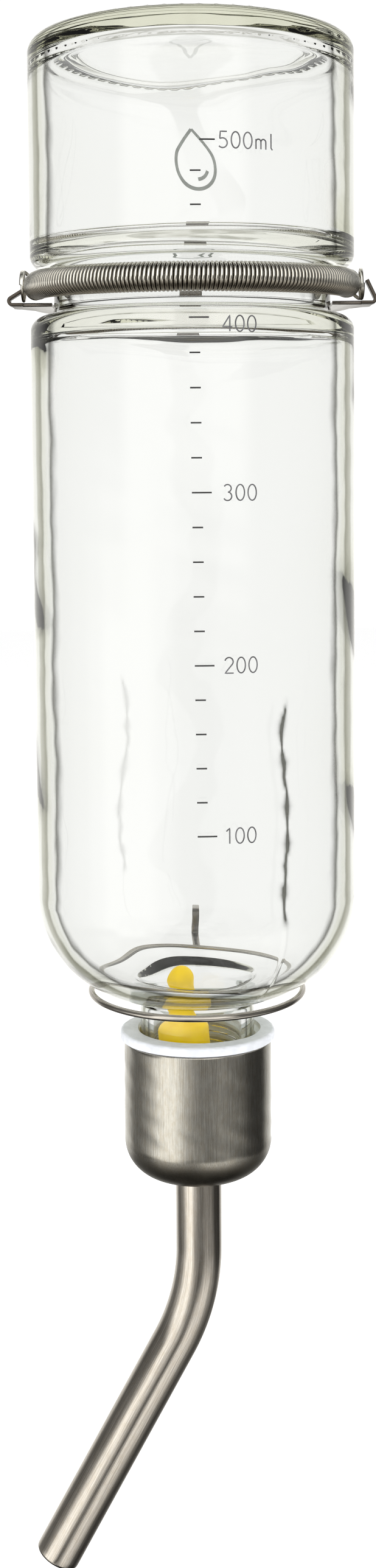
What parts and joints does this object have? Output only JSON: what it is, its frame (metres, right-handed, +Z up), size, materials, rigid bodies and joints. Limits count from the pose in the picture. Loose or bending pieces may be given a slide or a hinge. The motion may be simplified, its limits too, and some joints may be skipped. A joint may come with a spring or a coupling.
{
  "type": "rabbit water bottle",
  "caption": "Inverted glass water bottle with a screw cap, bent steel drinking tube with ball valve, loose float, and a spring clamp and neck ring that hook onto a cage.",
  "frame": {"origin": "middle of the cage hook's rear face, which rests on the front of the cage wires", "axes": "+Z up along the bottle's axis, +Y towards the cage, +X to the right of someone facing the bottle; the drinking tube bends towards -X"},
  "size_m": [0.0788, 0.0784, 0.332],
  "materials": {
    "glass": "clear soda-lime glass, slightly wavy",
    "shell_steel": "drawn sheet, satin with fine scratches",
    "white_plastic": "moulded, slightly rough edge",
    "washer_rubber": "moulded pale silicone rubber",
    "tube_steel": "drawn tube, polished",
    "ball_steel": "polished",
    "yellow_plastic": "moulded",
    "strap_steel": "rolled strip",
    "spring_steel": "drawn wire, bright",
    "ring_steel": "polished wire"
  },
  "bodies": {
    "holder": {"clamp_strap": "strap_steel", "cage_hook": "strap_steel", "neck_ring": "ring_steel", "ring_hook": "strap_steel"},
    "spring": {"clamp_spring": "spring_steel"},
    "bottle": {"glass_bottle": "glass"},
    "washer": {"sealing_washer": "washer_rubber"},
    "cap": {"cap_shell": "shell_steel", "thread_liner": "white_plastic", "tube_grommet": "washer_rubber"},
    "tube": {"drinking_tube": "tube_steel"},
    "ball": {"spout_ball": "ball_steel"},
    "float": {"float": "yellow_plastic"}
  },
  "joints": [
    {"name": "spring_swing", "type": "hinge", "parent": "holder", "child": "spring", "pos_m": [-0.0356, -0.0376, 0], "axis": [0, 0, -1], "range_deg": [0, 20]},
    {"name": "bottle_turn", "type": "hinge", "parent": "holder", "child": "bottle", "pos_m": [0, -0.037, 0], "axis": [0, 0, 1], "continuous": true},
    {"name": "cap_descend", "type": "slide", "parent": "bottle", "child": "washer", "axis": [0, 0, -1], "range_m": [0, 0.00645]},
    {"name": "cap_turn", "type": "hinge", "parent": "washer", "child": "cap", "pos_m": [0, -0.037, -0.165], "axis": [0, 0, -1], "range_deg": [0, 720]},
    {"name": "tube_swivel", "type": "hinge", "parent": "cap", "child": "tube", "pos_m": [0, -0.037, -0.19], "axis": [0, 0, 1], "continuous": true},
    {"name": "ball_lift", "type": "slide", "parent": "tube", "child": "ball", "axis": [0.4772, 0, 0.8788], "range_m": [0, 0.003]},
    {"name": "float_rise", "type": "slide", "parent": "bottle", "child": "float", "axis": [0, 0, 1], "range_m": [0, 0.18]}
  ],
  "couplings": [
    {"joint": "cap_descend", "follows": "cap_turn", "m_per_rad": 0.0005093}
  ]
}
